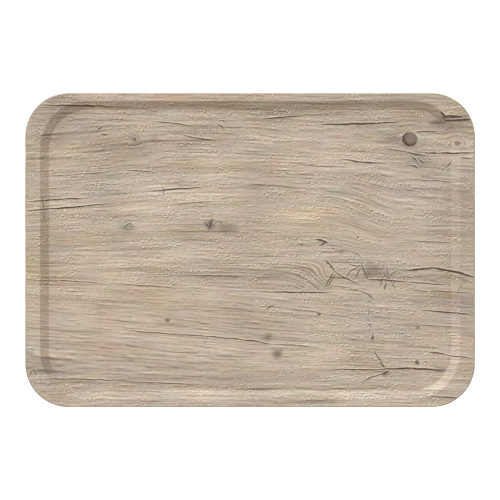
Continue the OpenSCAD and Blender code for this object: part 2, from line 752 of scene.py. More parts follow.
@dataclass(frozen=True)
class Knot(Oval):
    """A knot or stain in the printed wood; a few smudges are painted shadows that raised knots cast to their
    lower right.
    """

    kind: KnotKind
    strength: float = 1.0

    def marks(self, place: Place) -> dict[str, Socket]:
        """How much of each layer of colour the knot shows at a place.

        Args:
            place: Where on the face.

        Returns:
            The share of each layer that it has, from 0 to 1.
        """
        bench, away = place.bench, self.distance(place)
        if self.kind is PLUG:
            rim = bench.times(bench.fade(away, 0.4, 0.98), bench.fade(away, 1.14, 1.0))
            lean = bench.fade(bench.plus(place.x, place.y), sum(self.centre) + 13, sum(self.centre) - 8)
            fill = bench.times(bench.fade(away, 1.08, 0.96), 0.92)
            return {"plug": fill, "dark": bench.times(rim, lean)}
        if self.kind is EYE:
            core = bench.times(bench.fade(away, 0.6, 0.3), 0.42 * self.strength)
            ring = bench.times(bench.fade(away, 0.84, 0.96), bench.fade(away, 1.16, 1.02))
            halo = bench.times(bench.fade(away, 0.5, 0.68), bench.fade(away, 0.92, 0.8))
            brown = bench.scaled(ring, 0.25 * self.strength, core)
            return {"brown": brown, "pale": bench.times(halo, 0.25)}
        if self.kind is SMUDGE:
            # smudges: stains, and beside two knots the painted shadows that they cast
            return {"brown": bench.times(bench.fade(away, 1.3, 0.1), 0.75 * self.strength)}
        return {"dark": bench.times(bench.fade(away, 1.15, 0.5), 0.8 * self.strength)}


@dataclass(frozen=True)
class Patch(Oval):
    """A soft patch of another tone or hue: most are in the printed wood, and two paint light on the back and
    front walls' slopes.

    Its gain says how much it adds to each colour channel, as a share of the colour there.
    """

    gain: Colour


def tone(share: float) -> Colour:
    """A gain that is the same in all channels."""
    return (share, share, share)


ROSE = (0.05, -0.015, -0.025)
OLIVE = (-0.01, 0.0, -0.1)
GREY = (-0.035, -0.005, 0.035)
TAN = (-0.04, -0.07, -0.13)
MOSS = (-0.15, -0.06, -0.11)
PLUM = (-0.07, -0.1, -0.04)

SPLITS: tuple[Split, ...] = (
    # left, back
    Split((-250, 170.8), (-160, 169.4), 0.3, 1.6, 1.0),
    Split((-198, 155), (-144, 151.5), -0.8, 0.8, 0.4),
    Split((-116, 152), (-61, 145), 0.8, 1.2, 0.6),
    Split((-82, 136), (-37, 129), -0.6, 1.4, 0.6),
    Split((-182, 140), (-174, 145), 0.4, 1.4, 0.8),
    Split((-176, 137), (-168, 136), 0.2, 1.4, 0.8),
    Split((-40, 148), (-30, 141), 2.4, 1.2, 0.6),
    Split((-37, 152), (-27, 150), 1.6, 1.2, 0.6),
    # left, middle
    Split((-236, 87), (-150, 94), -0.5, 1.1, 0.5),
    Split((-152, 94), (-106, 90), 1.2, 1.2, 0.55),
    Split((-268, 56.5), (-184, 62), 0.4, 1.3, 1.0),
    Split((-268, 46.5), (-162, 55.5), -0.8, 1.5, 1.0),
    Split((-120, 69), (-54, 73.5), 0.8, 1.3, 0.85),
    Split((-95, 54), (-43, 58), -0.4, 1.1, 0.6),
    Split((-212, 69), (-130, 71), 0.5, 0.8, 0.35),
    Split((-104, 76), (-102, 62), 0.8, 0.9, 0.7),
    Split((-246, 65), (-243, 48), 0.5, 1.0, 0.6),
    Split((-243, 49), (-241, 29), -0.6, 0.9, 0.5),
    Split((-149, 25), (-139, 33), 1.2, 1.2, 0.6),
    Split((-143, 32), (-135, 27), -1.0, 1.0, 0.55),
    Split((-150, 31), (-145, 34), 0.6, 1.0, 0.5),
    Split((-240, 72), (-205, 74), 0.3, 0.9, 0.45),
    Split((-264, -35), (-162, -39.5), 0.6, 1.0, 0.7),
    Split((-170, -39), (-72, -46), 0.4, 1.1, 0.6),
    Split((-128, -32.5), (-40, -31), 1.2, 0.9, 0.45),
    Split((-78, -30.5), (-2, -31.5), 0.8, 1.2, 0.6),
    Split((-60, -26), (12, -27), 0.4, 0.9, 0.35),
    Split((-76, -18), (10, -19), 0.6, 0.9, 0.3),
    # left, front
    Split((-149, -94), (-60, -101.5), -0.3, 1.1, 0.75),
    Split((-85, -99), (14, -107.5), 0.3, 1.2, 0.75),
    Split((-258, -152), (-144, -154), 0.6, 1.3, 0.5),
    Split((-160, -154), (-50, -159), -0.4, 1.2, 0.45),
    Split((-236, -109), (-110, -121), 1.0, 0.9, 0.3),
    Split((-120, -122), (12, -126), -0.6, 0.9, 0.3),
    Split((-255, -140), (-260, -149), 0.4, 1.0, 0.7),
    Split((-255, -140), (-251.5, -147), -0.3, 1.0, 0.7),
    # right, back
    Split((12, 154.5), (66, 158.5), 0.3, 1.5, 0.75),
    Split((60, 158), (130, 164.5), 0.3, 1.0, 0.45),
    Split((78, 148.5), (178, 151.5), -1.2, 1.8, 0.9),
    Split((193, 139.3), (221, 140.5), -0.3, 1.3, 1.0),
    Split((158, 119.5), (190, 114), 1.2, 1.0, 0.8),
    Split((186, 115.5), (208, 111.5), -0.8, 1.3, 0.85),
    Split((196, 114.5), (222, 114.5), 0.2, 1.0, 0.8),
    Split((212, 115), (262, 114.8), -0.6, 1.4, 1.0),
    Split((104, 108), (163, 101.5), -0.8, 1.5, 0.65),
    Split((183, 83.5), (263, 80), -0.4, 1.1, 0.6),
    Split((173, 74), (238, 70), 0.4, 0.9, 0.45),
    Split((227, 158), (251, 157.6), 0.1, 1.7, 1.0),
    Split((229, 153.2), (262, 154.3), -0.4, 1.9, 1.0),
    Split((224, 162.5), (230, 157.5), 0.4, 1.6, 0.9),
    Split((229, 97), (238, 106), -1.2, 1.1, 0.7),
    Split((246, 108.5), (262, 107.5), 0.2, 1.2, 0.6),
    Split((191, 110), (197, 104), 0.6, 1.6, 0.6),
    Split((200, 107), (206, 103), -0.6, 1.4, 0.6),
    Split((190, 100), (198, 97), 0.8, 1.4, 0.6),
    # right, middle
    Split((77, 12.5), (93, 7.5), 1.4, 1.8, 0.75),
    Split((83, 5.5), (91, 9.5), 0.8, 1.6, 0.7),
    Split((98, -3), (108, -1), 0.6, 1.2, 0.4),
    Split((88, -12), (100, -26), 1.4, 1.3, 0.9),
    Split((98.5, -24), (130, -41), -1.0, 1.2, 1.0),
    Split((100, -25.5), (90, -42), 1.2, 1.3, 0.5),
    Split((101, -29), (93, -42), 1.0, 1.2, 0.6),
    Split((132, -19), (113, -33), 3.4, 1.1, 0.95),
    Split((131, -20), (125, -34), 0.8, 1.1, 0.8),
    Split((131, -15), (140, -35), -0.8, 1.1, 1.0),
    Split((138.5, -34.5), (190, -38), 0.6, 1.3, 0.95),
    Split((180, -37.5), (234, -41.5), 0.4, 1.2, 0.7),
    Split((119, -3), (131, -10.5), 2.6, 1.0, 0.7),
    Split((120, -10), (127, -3), -1.0, 0.9, 0.5),
    Split((116, -17), (132, -17.5), -1.2, 1.1, 0.8),
    Split((176.5, -24), (164, -34.5), 2.6, 1.0, 0.6),
    Split((161.5, -21), (164.5, -34), -0.6, 1.0, 0.6),
    Split((157.5, -28), (164, -36), 0.6, 1.1, 0.6),
    Split((156, -31), (152.5, -43.5), -0.8, 1.0, 0.65),
    Split((161, -38.5), (158.5, -47), 0.4, 1.2, 0.85),
    Split((166, -38), (171.5, -46), 0.5, 1.1, 0.6),
    Split((244, -52.5), (249.5, -40), 0.6, 1.0, 0.55),
    Split((191, 11), (238, 8.9), -0.5, 1.1, 0.65),
    Split((184, -23.8), (216, -21.5), 0.4, 1.7, 1.0),
    Split((209, -20.6), (266, -32.8), 1.8, 2.0, 1.0),
    Split((10, -48.6), (100, -49.6), -0.8, 1.4, 0.95),
    Split((94, -43), (122, -45.5), 0.6, 1.1, 0.5),
    Split((118, -45), (146, -54.5), 0.6, 1.1, 0.6),
    Split((180, -47.5), (264, -50.5), 0.2, 1.1, 0.7),
    Split((201, -71), (262, -76.5), 0.6, 1.4, 0.9),
    Split((186, -88), (264, -92), 0.3, 1.0, 0.45),
    # right, front
    Split((-12, -105.5), (27, -112), 0.8, 1.3, 0.65),
    Split((24, -111.5), (84, -116), 1.4, 1.2, 0.55),
    Split((96, -140.2), (160, -141), -0.4, 1.3, 0.85),
    Split((150, -140.5), (229, -141.5), 1.2, 1.7, 1.0),
    Split((210, -121), (234, -124), 1.0, 1.3, 1.0),
    Split((230, -123.8), (265, -127.5), -0.3, 1.2, 0.85),
    Split((161, -144), (130, -157), 1.2, 1.2, 0.75),
    Split((37, -68), (130, -81.5), 0.6, 1.0, 0.45),
    Split((206, -172.5), (250, -174), 0.2, 1.2, 0.55),
    Split((-43.4, 38), (-47.5, 24), 1.4, 1.3, 0.85),
    Split((-54, 34), (-48, 24), 0.8, 1.2, 0.65),
    Split((-41, 33), (-31, 31), 1.8, 1.1, 0.6),
    Split((-21, 13.8), (-6, 17.8), 0.4, 1.0, 0.5),
    Split((10, -68), (22, -66.5), 0.4, 1.0, 0.5),
    Split((19, -70), (28, -65), 1.0, 1.2, 0.75),
    Split((27, -67), (39, -67.5), 0.4, 1.0, 0.5),
    Split((137, -66), (143, -68), 0.4, 1.1, 0.4),
    Split((138, -79), (142, -84), -0.6, 1.1, 0.4),
    Split((139, -52), (146, -56), -0.8, 1.2, 0.6),
    Split((137, -61), (144, -60), 0.8, 1.2, 0.5),
    Split((146, -97), (144, -107), 0.8, 1.2, 0.5),
    Split((153, -131), (160, -139), -0.8, 1.3, 0.7),
    Split((156, -147), (163, -142.5), 0.8, 1.5, 0.8),
    Split((146, -118), (158, -134), -1.2, 1.2, 0.55),
)
KNOTS: tuple[Knot, ...] = (
    Knot((188.6, 131), 8.6, 8.2, PLUG),
    Knot((244.5, 125.5), 8.4, 6.4, EYE, 1.5),
    Knot((-136, 130.5), 5.0, 4.6, EYE, 1.7),
    Knot((-135, 130), 6.5, 6.0, SMUDGE, 0.4),
    Knot((245, 125), 10.0, 7.0, SMUDGE, 0.4),
    Knot((221, 150), 12.0, 5.5, SMUDGE, 0.8),
    Knot((242, 155.5), 20.0, 5.5, SMUDGE, 1.2),
    Knot((246, 145.5), 20.0, 3.0, SMUDGE, 0.5),
    Knot((166, 131.5), 15.0, 4.0, SMUDGE, 0.55),
    # painted shadow that the big knot at 132, -21 casts to its lower right
    Knot((144, -24), 14.0, 10.0, SMUDGE, 0.6),
    Knot((140, -26.5), 8.0, 6.5, SMUDGE, 0.7),
    # painted shadow that the knot at -47, 30 casts to its lower right
    Knot((-26, 25), 14.0, 8.0, SMUDGE, 0.6),
    Knot((-47, 30), 8.0, 7.0, SMUDGE, 0.8),
    Knot((-114, 130), 9.0, 4.0, SMUDGE, 0.4),
    Knot((144.5, -104), 2.0, 2.4, SPOT, 0.9),
    Knot((140, -73), 1.8, 2.2, SPOT, 0.6),
    Knot((141, -88), 1.8, 2.2, SPOT, 0.6),
    Knot((21, -103), 8.0, 6.0, SMUDGE, 0.7),
    Knot((32, -122.5), 7.5, 7.5, SMUDGE, 0.9),
    Knot((25, -66.5), 6.0, 3.0, SMUDGE, 0.5),
    Knot((224, -141), 8.0, 4.0, SMUDGE, 1.0),
    Knot((83, 10), 6.0, 3.0, SMUDGE, 0.6),
    Knot((92.5, -41), 4.0, 6.0, SMUDGE, 0.4),
    Knot((160, -145), 5.5, 4.6, SMUDGE, 1.0),
    Knot((217, 115), 3.4, 2.2, SPOT, 0.8),
    Knot((197, -132.5), 2.9, 2.9, SPOT),
    Knot((198, -91.5), 3.4, 2.8, SPOT, 0.6),
    Knot((81.5, -75.8), 2.8, 1.8, SPOT),
    Knot((-97.5, -83), 3.6, 2.9, SPOT, 0.8),
    Knot((-146, 26), 12.0, 4.6, SMUDGE, 0.45),
    Knot((127, 14.5), 1.6, 1.6, SPOT, 0.8),
    Knot((61, 6.5), 1.8, 1.6, SPOT, 0.7),
    Knot((98.5, 2), 1.6, 1.4, SPOT, 0.7),
    Knot((107, -1.5), 7.0, 3.0, SMUDGE, 0.5),
)
PATCHES: tuple[Patch, ...] = (
    # broad tones
    Patch((0, 168), 280, 26, tone(-0.05)),
    Patch((205, 160), 90, 40, tone(-0.12)),
    Patch((262, -30), 46, 150, tone(-0.12)),
    Patch((184, 118), 30, 22, tone(-0.12)),
    Patch((-138, 122), 30, 14, tone(-0.12)),
    Patch((-235, 150), 44, 36, tone(-0.14)),
    Patch((-46, 30), 26, 11, tone(-0.1)),
    Patch((0, -30), 110, 9, tone(-0.07)),
    Patch((165, -32), 60, 16, tone(-0.13)),
    Patch((240, -62), 44, 16, tone(-0.15)),
    Patch((-130, -154), 160, 18, tone(-0.08)),
    Patch((-92, 68), 70, 26, tone(0.09)),
    Patch((92, 122), 34, 18, tone(0.03)),
    Patch((92, -122), 36, 18, tone(0.12)),
    Patch((-60, -121), 66, 15, tone(0.1)),
    Patch((70, 30), 90, 18, tone(0.05)),
    Patch((-184, 32), 44, 13, tone(0.08)),
    Patch((-62, 40), 40, 9, tone(0.06)),
    Patch((-215, 48), 44, 14, tone(0.06)),
    Patch((92, 112), 26, 9, tone(0.07)),
    Patch((75, 44), 50, 8, (0.08, 0.045, -0.01)),
    Patch((-152, -106), 110, 5, tone(0.07)),
    Patch((-38, -31), 50, 6, tone(-0.1)),
    Patch((-262, -115), 14, 18, (-0.07, -0.05, -0.02)),
    Patch((-40, 99), 110, 6, tone(-0.07)),
    # darker streaks, with painted shade on the back wall's slope and painted light on the lit front wall's
    # slope
    # painted shade: darker all along the back wall's slope, which faces away from the key lamp
    Patch((0, 171.5), 220, 5, (-0.11, -0.09, -0.1)),
    Patch((160, 177), 36, 6, tone(-0.08)),
    Patch((-165, 178), 36, 6, tone(-0.07)),
    Patch((62, 149), 40, 8, tone(-0.08)),
    Patch((60, 126), 38, 9, tone(-0.14)),
    Patch((258, 128), 14, 14, tone(-0.1)),
    Patch((-135, 102), 30, 7, tone(-0.07)),
    Patch((124, 88), 40, 9, tone(-0.1)),
    Patch((86, 70), 64, 12, tone(-0.13)),
    Patch((-225, 6), 50, 6, tone(-0.07)),
    Patch((0, -46), 74, 9, tone(-0.14)),
    Patch((160, -55), 74, 8, tone(-0.15)),
    Patch((232, -80), 48, 9, tone(-0.1)),
    Patch((-180, -140), 44, 8, tone(-0.13)),
    Patch((62, -152), 62, 8, tone(-0.13)),
    Patch((130, -162), 120, 8, tone(-0.12)),
    # painted light: the lit front wall's slope made a little darker and less yellow along its whole length
    Patch((0, -171.5), 220, 5, (-0.06, -0.055, -0.04)),
    Patch((160, 138), 46, 7, tone(-0.1)),
    Patch((226, 95), 50, 14, tone(-0.12)),
    Patch((90, -78), 32, 6, tone(-0.07)),
    Patch((230, -127), 30, 8, tone(-0.08)),
    Patch((195, -175), 44, 7, tone(-0.1)),
    Patch((0, 182), 250, 5, (-0.01, -0.035, -0.04)),
    Patch((0, -182), 250, 5, (-0.04, -0.04, -0.05)),
    # paler streaks
    Patch((-226, 52), 50, 8, tone(0.1)),
    Patch((-120, -66), 44, 6, tone(0.09)),
    Patch((68, -175), 28, 7, tone(0.1)),
    Patch((222, 163), 24, 13, tone(0.14)),
    Patch((-180, 160), 40, 9, tone(0.07)),
    Patch((-205, 113), 44, 7, tone(0.1)),
    Patch((15, 102), 30, 7, tone(0.07)),
    Patch((-130, 43), 110, 8, tone(0.14)),
    Patch((-230, 32), 50, 9, tone(0.08)),
    Patch((30, 18), 36, 7, tone(0.07)),
    Patch((-230, -22), 40, 14, tone(0.14)),
    Patch((66, -24), 38, 12, tone(0.07)),
    Patch((-196, -104), 56, 8, tone(0.07)),
    Patch((132, -118), 40, 15, tone(0.15)),
    # hues
    Patch((-262, 112), 22, 24, OLIVE),
    Patch((-208, 122), 30, 8, (0.03, 0.0, -0.07)),
    Patch((-262, -22), 22, 30, OLIVE),
    Patch((-180, -40), 120, 50, (0.025, 0.0, -0.03)),
    Patch((-120, -70), 120, 34, (0.02, -0.005, -0.03)),
    Patch((70, 30), 60, 26, (0.02, 0.01, -0.05)),
    Patch((-220, -34), 30, 10, ROSE),
    Patch((-100, 180), 130, 9, ROSE),
    Patch((199, 159), 12, 8, (0.02, -0.06, -0.06)),
    Patch((29, 103), 30, 12, (0.05, 0.01, -0.03)),
    Patch((250, -103), 12, 6, (0.06, -0.04, -0.09)),
    Patch((250, -134), 14, 10, ROSE),
    Patch((-160, -114), 60, 10, ROSE),
    Patch((-96, 122), 50, 16, (-0.01, -0.035, -0.01)),
    Patch((-205, 145), 24, 18, GREY),
    Patch((-150, 75), 60, 22, GREY),
    Patch((-250, -130), 40, 40, GREY),
    Patch((200, 80), 70, 50, (-0.03, -0.02, 0.025)),
    Patch((130, -5), 40, 16, GREY),
    Patch((150, -90), 40, 24, GREY),
    Patch((246, -64), 16, 10, (0.0, -0.04, 0.03)),
    Patch((13, -33), 14, 9, PLUM),
    Patch((163, -30), 13, 9, PLUM),
    Patch((-134, 132), 10, 8, PLUM),
    Patch((235, -52), 22, 10, TAN),
    Patch((197, 106), 13, 9, MOSS),
    Patch((85, -42), 12, 7, MOSS),
    Patch((108, -2), 12, 5, MOSS),
    Patch((97, 5), 13, 5, PLUM),
    Patch((-146, 27), 12, 6, MOSS),
    Patch((-220, 13), 70, 8, TAN),
    Patch((-95, 20), 70, 7, TAN),
    Patch((-60, 99), 130, 7, TAN),
)


@dataclass(frozen=True)
class WeatheredWoodPrint:
    """Printed paper under clear resin that shows one wide weathered softwood board."""

    name: str = "weathered_wood_print"
    pale: Colour = linear(239, 222, 200)
    light: Colour = linear(210, 192, 171)
    middle: Colour = linear(188, 170, 150)
    brown: Colour = linear(162, 144, 124)
    deep: Colour = linear(122, 106, 90)
    split_colour: Colour = linear(84, 67, 52)
    stain_and_shadow_colour: Colour = linear(88, 73, 60)
    plug_colour: Colour = linear(134, 116, 102)
    splits: tuple[Split, ...] = SPLITS
    knots: tuple[Knot, ...] = KNOTS
    patches: tuple[Patch, ...] = PATCHES

    def make(self) -> bpy.types.Material:
        """Makes the material.

        Returns:
            The material.
        """
        material, bench, shader = start_finish(self.name)
        place = self.place_on_face(bench)
        place.across = self.across_grain(place)
        place.grain = bench.mapped(bench.joined(place.x, place.across), (1.0, 1.0, 1.0))
        value = self.streaks(place)
        value = bench.plus(value, self.dashes(place))
        value = bench.math("SUBTRACT", value, self.growth_lines(place))
        value = bench.plus(value, self.speck_highlight_and_shade(place))
        colour = bench.shades(
            value,
            ((0.0, self.deep), (0.25, self.brown), (0.5, self.middle), (0.74, self.light), (1.0, self.pale)),
        )
        for layer in (self.toned, self.knotted, self.split_open):
            colour = layer(place, colour)
        bench.feed(shader.inputs["Base Color"], colour)
        rough = bench.noise(place.grain, 30, 2, 41)
        bench.feed(shader.inputs["Roughness"], bench.scaled(rough, 0.16, 0.62))
        shader.inputs["Specular IOR Level"].default_value = 0.22
        bench.feed(bench.relief(shader, 0.2), bench.noise(place.grain, 24, 1.4, 5, 2.0))
        return material

    def place_on_face(self, bench: Bench) -> Place:
        """Reads a place on the face, seen from above.

        Args:
            bench: Where its nodes go.

        Returns:
            The place.
        """
        source = bench.add("ShaderNodeTexCoord").outputs["Object"]
        flat = bench.mapped(source, (1 / MM, 1 / MM, 1 / MM))
        parts = bench.wired("ShaderNodeSeparateXYZ", flat)
        return Place(bench, flat, parts.outputs[0], parts.outputs[1])

    def across_grain(self, place: Place) -> Socket:
        """Bends the grain: a place's distance across it, as if the board's grain ran straight.

        Args:
            place: Where on the face.

        Returns:
            The distance's socket, in millimetres.
        """
        bench, flat, y = place.bench, place.flat, place.y
        wander = bench.scaled(bench.noise(flat, 260, 90, 1, 1.0), 10.0, -5.0)
        ripple = bench.scaled(bench.noise(flat, 60, 16, 2, 1.0), 1.6, -0.8)
        shift = bench.plus(wander, ripple)
        for bend in (self.arch(place), self.dive(place), self.step_down(place)):
            shift = bench.plus(shift, bend)
        for knot in self.knots[:3]:
            reach = bench.fade(knot.distance(place), 2.6, 0.4)
            off = bench.plus(y, -knot.centre[1])
            shift = bench.scaled(bench.times(reach, off), -0.55, shift)
        return bench.plus(y, shift)

    def arch(self, place: Place) -> Socket:
        """The grain's broad sweep: it arches along the back half, and falls to the right in front.

        Args:
            place: Where on the face.

        Returns:
            How far it shifts the grain, in millimetres.
        """
        bench, x, y = place.bench, place.x, place.y
        away = bench.plus(x, 20)
        rise = bench.math("SQRT", bench.scaled(away, away, 60**2))
        behind = bench.times(bench.fade(y, -30, 50), bench.fade(y, 160, 110))
        front = bench.times(bench.fade(y, -10, -60), bench.fade(y, -150, -110))
        back_sweep = bench.times(bench.times(rise, behind), 0.06)
        return bench.scaled(bench.times(x, front), 0.07, back_sweep)

    def dive(self, place: Place) -> Socket:
        """Grain from the left dives beside the big knot, between two long splits that cut it off.

        Args:
            place: Where on the face.

        Returns:
            How far it shifts the grain, in millimetres.
        """
        bench, x, y = place.bench, place.x, place.y
        across = bench.most(bench.scaled(x, 1 / 47, -42 / 47), 0.0)
        across = bench.math("MINIMUM", across, 1.0)
        deep = bench.times(bench.times(across, across), 20.0)
        band = bench.times(bench.fade(y, -2, -36), bench.fade(y, -50.2, -49.2))
        cut = bench.scaled(bench.math("ABSOLUTE", bench.plus(y, 24)), 0.6, x)
        return bench.times(deep, bench.times(band, bench.fade(cut, 100.5, 98.5)))

    def step_down(self, place: Place) -> Socket:
        """Above the big knot the grain steps down to the right.

        Args:
            place: Where on the face.

        Returns:
            How far it shifts the grain, in millimetres.
        """
        bench, x, y = place.bench, place.x, place.y
        slope = bench.times(bench.fade(x, 90, 178), 22.0)
        band = bench.times(bench.fade(y, 104, 36), bench.fade(y, -18, 14))
        return bench.times(slope, band)

    def streaks(self, place: Place) -> Socket:
        """The grain's light and dark streaks, from 0, dark, to 1, pale.

        Args:
            place: Where on the face.

        Returns:
            How bright the wood is.
        """
        bench, flat, grain = place.bench, place.flat, place.grain
        layers = (
            (bench.noise(grain, 300, 26, 11, 1.0), 0.22),
            (bench.noise(grain, 150, 7, 12, 1.0), 0.34),
            (bench.noise(grain, 95, 2.5, 13, 1.0), 0.44),
            (bench.noise(flat, 6, 2.4, 17, 1.0), 0.21),
            (bench.noise(flat, 60, 44, 27), 0.34),
        )
        lively = bench.scaled(bench.noise(flat, 110, 45, 18, 1.0), 1.6, 0.2)
        total = 0.555
        for number, (layer, weight) in enumerate(layers):
            centred = bench.plus(layer, -0.5)
            if number == 2:
                centred = bench.times(centred, lively)
            total = bench.scaled(centred, weight, total)
        return total

    def dashes(self, place: Place) -> Socket:
        """Short open fibres along the grain, as printed relief shading: thin dark dashes, each with a painted
        highlight on the lip behind it.

        Args:
            place: Where on the face.

        Returns:
            How much brighter they make it, below 0 for darker.
        """
        bench = place.bench
        layers = (bench.noise(place.grain, 30, 1.6, 14, 1.0, shift) for shift in ((0, 0), (0, -2.0)))
        dark, pale = (bench.fade(layer, 0.41, 0.3) for layer in layers)
        # the layer shifted across the grain is the painted highlight on each dash's lip
        return bench.scaled(dark, -0.23, bench.times(pale, 0.18))

    def swirl(self, place: Place) -> Socket:
        """How far a place lies in the swirl beside the big knot, where the late wood shows most."""
        return place.bench.fade(Oval((68, -28), 42, 25).distance(place), 1.1, 0.6)

    def calm(self, place: Place) -> Socket:
        """How far a place lies in the calm left front, where fine even lines show and few flecks."""
        return place.bench.fade(Oval((-110, -106), 175, 56).distance(place), 1.2, 0.8)

    def growth_lines(self, place: Place) -> Socket:
        """Thin dark late-wood lines along the grain, sharp on one side and soft on the other.

        Args:
            place: Where on the face.

        Returns:
            How dark they are.
        """
        bench, flat, grain = place.bench, place.flat, place.grain
        uneven = bench.times(bench.noise(grain, 280, 15, 15, 2.0), 3.2)
        ring = bench.math("FRACT", bench.scaled(place.across, 1 / 4.6, uneven))
        line = bench.times(bench.fade(ring, 0.34, 0.12), bench.fade(ring, 0.0, 0.08))
        broken = bench.fade(bench.noise(grain, 90, 4.8, 16, 1.0), 0.40, 0.62)
        broken = bench.most(broken, self.swirl(place))
        zone = bench.fade(bench.noise(flat, 150, 50, 19, 1.0), 0.36, 0.6)
        strength = bench.scaled(zone, 0.24, 0.12)
        strength = bench.most(strength, bench.times(self.calm(place), 0.27))
        strength = bench.most(strength, bench.times(self.swirl(place), 0.42))
        return bench.times(bench.times(line, broken), strength)

    def speck_highlight_and_shade(self, place: Place) -> Socket:
        """Draws the small raised flecks as printed relief shading: a painted highlight above and painted
        shade below each, in loose clusters and rows.

        Args:
            place: Where on the face.

        Returns:
            How much brighter they make it, below 0 for darker.
        """
        bench, flat, grain = place.bench, place.flat, place.grain
        layers = (bench.noise(flat, 2.5, 1.8, 32, 1.0, shift) for shift in ((0, 0), (-0.5, 1.4)))
        here, below = (bench.fade(layer, 0.62, 0.71) for layer in layers)
        clusters = bench.fade(bench.noise(flat, 30, 14, 31, 2.0), 0.5, 0.68)
        rows = bench.fade(bench.noise(grain, 120, 6, 33, 1.0), 0.6, 0.7)
        amount = bench.scaled(bench.most(clusters, rows), 0.56, 0.16)
        amount = bench.times(amount, bench.scaled(self.calm(place), -0.8, 1.0))
        # painted highlight above each fleck, painted shade below it
        return bench.times(bench.math("SUBTRACT", here, below), amount)

    def toned(self, place: Place, colour: Socket) -> Socket:
        """Lays the patches of other tones and hues over the streaks, with the painted light on the two walls'
        slopes.

        Args:
            place: Where on the face.
            colour: The colour so far.

        Returns:
            The colour after it.
        """
        bench, flat, x, y = place.bench, place.flat, place.x, place.y
        # Ragged edges along the grain.
        moved_x = bench.scaled(bench.noise(flat, 34, 7, 21), 36.0, bench.plus(x, -18))
        moved_y = bench.scaled(bench.noise(flat, 34, 7, 22), 8.0, bench.plus(y, -4))
        place = replace(place, x=moved_x, y=moved_y)
        warm = bench.plus(bench.noise(flat, 40, 15, 23), -0.5)
        warm = bench.joined(warm, warm, warm)
        rosy = bench.plus(bench.noise(flat, 34, 14, 24), -0.5)
        rosy = bench.joined(rosy, rosy, rosy)
        gain = bench.vector("MULTIPLY_ADD", warm, (0.07, 0.0, -0.24), (1.0, 1.0, 1.0))
        gain = bench.vector("MULTIPLY_ADD", rosy, (0.14, -0.08, 0.04), gain)
        for patch in self.patches:
            gain = bench.use_group(patch_group(), patch.distance(place), patch.gain, gain)[0]
        return bench.vector("MULTIPLY", colour, gain)

    def knotted(self, place: Place, colour: Socket) -> Socket:
        """Draws the knots, the stains and the painted knot shadows over the grain.

        Args:
            place: Where on the face.
            colour: The colour so far.

        Returns:
            The colour after it.
        """
        bench, flat = place.bench, place.flat
        off_x = bench.plus(bench.noise(flat, 7, 5, 34, 2.0), -0.5)
        off_y = bench.plus(bench.noise(flat, 7, 5, 36, 2.0), -0.5)
        layers = dict.fromkeys(("pale", "brown", "plug", "dark"), 0.0)
        for kind in KnotKind:
            moved_x = bench.scaled(off_x, kind.value, place.x)
            moved_y = bench.scaled(off_y, kind.value, place.y)
            moved = replace(place, x=moved_x, y=moved_y)
            for knot in self.knots:
                if knot.kind is kind:
                    for layer, share in knot.marks(moved).items():
                        layers[layer] = bench.most(layers[layer], share)
        colour = bench.blend(layers["pale"], colour, self.pale)
        # brown layer: stains, eyes and the painted knot shadows
        colour = bench.blend(layers["brown"], colour, self.stain_and_shadow_colour)
        colour = bench.blend(layers["plug"], colour, self.plug_colour)
        return bench.blend(layers["dark"], colour, self.split_colour)

    def split_open(self, place: Place, colour: Socket) -> Socket:
        """Draws the drying splits over everything else, each with a painted highlight along its upper lip.

        Args:
            place: Where on the face.
            colour: The colour so far.

        Returns:
            The colour after it.
        """
        bench, flat = place.bench, place.flat
        sway = bench.scaled(bench.noise(flat, 16, 10, 35, 2.0), 2.2, -1.1)
        swayed = replace(place, y=bench.plus(place.y, sway))
        broken = bench.fade(bench.noise(flat, 7, 3, 37, 1.0), 0.08, 0.36)
        dark = bright = 0.0
        for split in self.splits:
            one, beside = split.masks(swayed)
            dark = bench.most(dark, one)
            bright = bench.most(bright, beside)
        # painted highlight along each split's upper lip, part of the printed relief shading
        bright = bench.times(bench.math("MINIMUM", bright, 1.0), 0.5)
        dark = bench.times(bench.math("MINIMUM", dark, 1.0), broken)
        colour = bench.blend(bright, colour, self.pale)
        return bench.blend(dark, colour, self.split_colour)


class GrainWay(Enum):
    """Which way a veneer's grain runs."""

    ALONG = "along"
    ACROSS = "across"


@dataclass(frozen=True)
class CoreVeneer:
    """Bare pressed veneer, as the tray's core is made of."""

    way: GrainWay
    light: Colour = linear(206, 172, 132)
    dark: Colour = linear(160, 120, 82)

    def make(self) -> bpy.types.Material:
        """Makes the material.

        Returns:
            The material.
        """
        material, bench, shader = start_finish(f"core_veneer_{self.way.value}")
        flat = bench.millimetres()
        length, width = (60, 1.5) if self.way is GrainWay.ALONG else (1.5, 60)
        streaks = bench.noise(flat, length, width, 3, 3.0)
        colour = bench.blend(bench.fade(streaks, 0.3, 0.7), self.dark, self.light)
        bench.feed(shader.inputs["Base Color"], colour)
        bench.feed(shader.inputs["Roughness"], bench.scaled(streaks, 0.2, 0.5))
        return material


@dataclass(frozen=True)
class PlainBacking:
    """Plain brown resin-soaked paper under clear resin, with a fine pressed texture."""

    name: str = "plain_backing"
    colour: Colour = linear(112, 96, 82)
    mottle: Colour = linear(104, 89, 76)

    def make(self) -> bpy.types.Material:
        """Makes the material.

        Returns:
            The material.
        """
        material, bench, shader = start_finish(self.name)
        flat = bench.millimetres()
        cloud = bench.noise(flat, 26, 18, 8, 3.0)
        specks = bench.noise(flat, 1.6, 1.6, 9, 2.0)
        colour = bench.blend(bench.fade(cloud, 0.3, 0.74), self.colour, self.mottle)
        colour = bench.blend(bench.times(bench.fade(specks, 0.6, 0.75), 0.3), colour, self.mottle)
        bench.feed(shader.inputs["Base Color"], colour)
        bench.feed(shader.inputs["Roughness"], bench.scaled(specks, 0.2, 0.55))
        bench.feed(bench.relief(shader, 0.3), specks)
        return material


